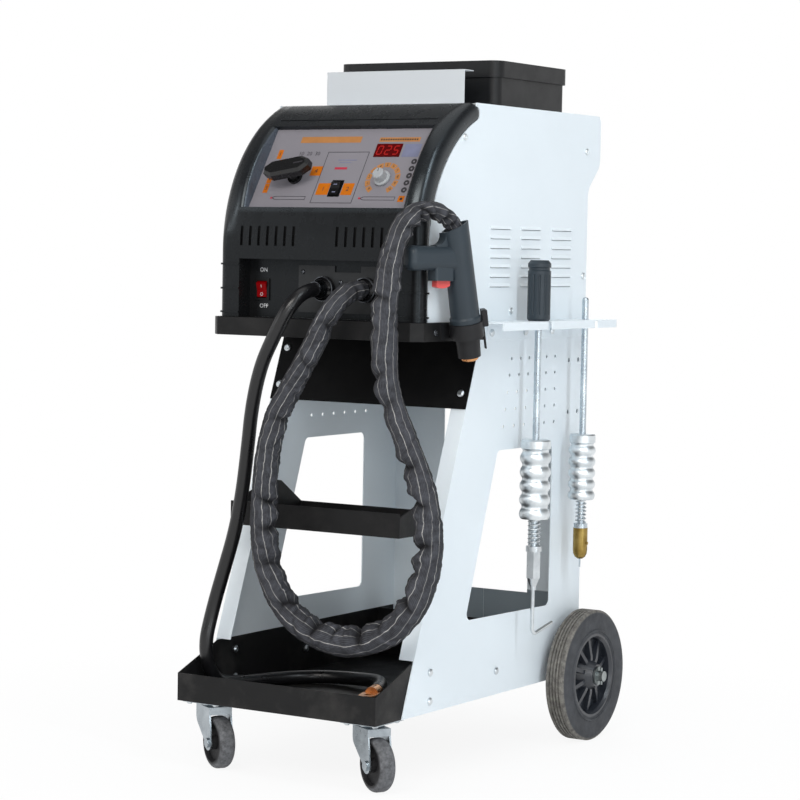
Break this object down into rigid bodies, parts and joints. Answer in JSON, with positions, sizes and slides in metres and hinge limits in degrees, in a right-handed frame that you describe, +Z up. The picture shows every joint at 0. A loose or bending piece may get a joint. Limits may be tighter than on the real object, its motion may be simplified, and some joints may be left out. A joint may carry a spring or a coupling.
{
  "type": "dent pulling welder",
  "caption": "Trolley stud welder for pulling dents, with a sleeved hand gun, ground cable, slide hammers on a side bracket and wheels.",
  "frame": {"origin": "on the floor under the middle of the bounding box, cords left out", "axes": "+Z up, front with the control panel faces -Y, +X to the viewer's right where the gun and slide hammers hang"},
  "size_m": [0.475, 0.65, 1.026],
  "materials": {
    "white_panel": "satin powder coat",
    "black_sheet": "fine textured powder coat",
    "bezel_black": "fine grain moulding",
    "panel_grey": "satin print",
    "display_red": "tinted gloss",
    "knob_black": "matte",
    "knob_grey": "matte",
    "rocker_dark": "matte",
    "rocker_red": "translucent gloss",
    "zinc": "bright zinc",
    "tyre": "dusty rubber",
    "hub_black": "matte",
    "caster_rubber": "matte",
    "gun_grey": "fine grain moulding",
    "trigger_red": "satin",
    "copper": "dull copper",
    "brass": "turned",
    "core_steel": "varnished laminations",
    "sink_alloy": "mill finish",
    "board_green": "solder mask",
    "sleeve_fabric": "woven with pale pinstripes",
    "cable_rubber": "smooth rubber"
  },
  "bodies": {
    "trolley": {"side_panel_left": "white_panel", "side_panel_right": "white_panel", "top_cover": "white_panel", "rear_cover": "white_panel", "tool_bracket": "white_panel", "shelf": "black_sheet", "apron": "black_sheet", "middle_shelf": "black_sheet", "base_tray": "black_sheet", "gun_holder": "black_sheet", "front_bezel": "bezel_black", "top_tool_tray": "bezel_black", "gland_plate": "bezel_black", "cable_glands": "bezel_black", "mains_inlet": "bezel_black", "control_panel": "panel_grey", "display_window": "display_red", "selector_switch": "knob_black", "level_potentiometer": "knob_black", "mode_switch_body": "knob_black", "power_switch_body": "knob_black", "deck_plate": "zinc", "rear_axle": "zinc", "axle_fasteners": "zinc", "caster_plates": "zinc", "frame_bolts": "zinc", "ground_lug": "copper", "busbars": "copper", "transformer_windings": "copper", "transformer_core": "core_steel", "thyristor_sink": "sink_alloy", "control_board": "board_green", "torch_sleeve": "sleeve_fabric", "ground_cable": "cable_rubber"},
    "wheel_left": {"wheel_tyre_left": "tyre", "wheel_hub_left": "hub_black"},
    "wheel_right": {"wheel_tyre_right": "tyre", "wheel_hub_right": "hub_black"},
    "caster_left": {"caster_fork_left": "zinc"},
    "caster_right": {"caster_fork_right": "zinc"},
    "roller_left": {"caster_wheel_left": "caster_rubber"},
    "roller_right": {"caster_wheel_right": "caster_rubber"},
    "selector": {"selector_knob": "knob_black"},
    "level": {"level_knob": "knob_grey"},
    "mode_switch": {"mode_rocker": "rocker_dark"},
    "power_switch": {"power_rocker": "rocker_red"},
    "gun": {"gun_body": "gun_grey", "gun_nozzle": "gun_grey", "gun_tip": "copper"},
    "trigger": {"gun_trigger": "trigger_red"},
    "hook_puller": {"hook_rod": "zinc", "hook_handle": "knob_black", "hook_spring": "zinc", "hook_chuck": "zinc", "pulling_hook": "zinc"},
    "hook_slider": {"hook_weight": "zinc"},
    "stud_puller": {"stud_rod": "zinc", "stud_spring": "zinc", "stud_collet": "brass"},
    "stud_slider": {"stud_weight": "zinc"}
  },
  "joints": [
    {"name": "wheel_left_spin", "type": "hinge", "parent": "trolley", "child": "wheel_left", "pos_m": [-0.196, 0.225, 0.1], "axis": [1, 0, 0], "continuous": true},
    {"name": "wheel_right_spin", "type": "hinge", "parent": "trolley", "child": "wheel_right", "pos_m": [0.196, 0.225, 0.1], "axis": [1, 0, 0], "continuous": true},
    {"name": "caster_left_swivel", "type": "hinge", "parent": "trolley", "child": "caster_left", "pos_m": [-0.135, -0.281, 0.088], "axis": [0, 0, 1], "continuous": true},
    {"name": "caster_left_roll", "type": "hinge", "parent": "caster_left", "child": "roller_left", "pos_m": [-0.11786, -0.2913, 0.0375], "axis": [0.515, 0.8572, 0], "continuous": true},
    {"name": "caster_right_swivel", "type": "hinge", "parent": "trolley", "child": "caster_right", "pos_m": [0.135, -0.281, 0.088], "axis": [0, 0, 1], "continuous": true},
    {"name": "caster_right_roll", "type": "hinge", "parent": "caster_right", "child": "roller_right", "pos_m": [0.15214, -0.2913, 0.0375], "axis": [0.515, 0.8572, 0], "continuous": true},
    {"name": "selector_turn", "type": "hinge", "parent": "trolley", "child": "selector", "pos_m": [-0.07, -0.18913, 0.84703], "axis": [0, -0.8451, 0.5346], "range_deg": [-72, 48]},
    {"name": "level_turn", "type": "hinge", "parent": "trolley", "child": "level", "pos_m": [0.0787, -0.18993, 0.84577], "axis": [0, -0.8451, 0.5346], "range_deg": [-140, 140]},
    {"name": "mode_tilt", "type": "hinge", "parent": "trolley", "child": "mode_switch", "pos_m": [0.0055, -0.19453, 0.82915], "axis": [1, 0, 0], "range_deg": [-18, 0]},
    {"name": "power_tilt", "type": "hinge", "parent": "trolley", "child": "power_switch", "pos_m": [-0.112, -0.205, 0.686], "axis": [1, 0, 0], "range_deg": [-18, 0]},
    {"name": "gun_lift", "type": "slide", "parent": "trolley", "child": "gun", "axis": [0, -0.2504, 0.9681], "range_m": [0, 0.08], "deforming": ["torch_sleeve"]},
    {"name": "trigger_pull", "type": "slide", "parent": "gun", "child": "trigger", "axis": [0, 0, 1], "range_m": [0, 0.0045], "stiffness_N_per_m": 400, "springref_m": -0.002},
    {"name": "hook_puller_out", "type": "slide", "parent": "trolley", "child": "hook_puller", "axis": [1, 0, 0], "range_m": [0, 0.06]},
    {"name": "hook_weight_slide", "type": "slide", "parent": "hook_puller", "child": "hook_slider", "axis": [0, 0, 1], "range_m": [0, 0.155]},
    {"name": "stud_puller_out", "type": "slide", "parent": "trolley", "child": "stud_puller", "axis": [1, 0, 0], "range_m": [0, 0.06]},
    {"name": "stud_weight_slide", "type": "slide", "parent": "stud_puller", "child": "stud_slider", "axis": [0, 0, 1], "range_m": [0, 0.155]}
  ]
}
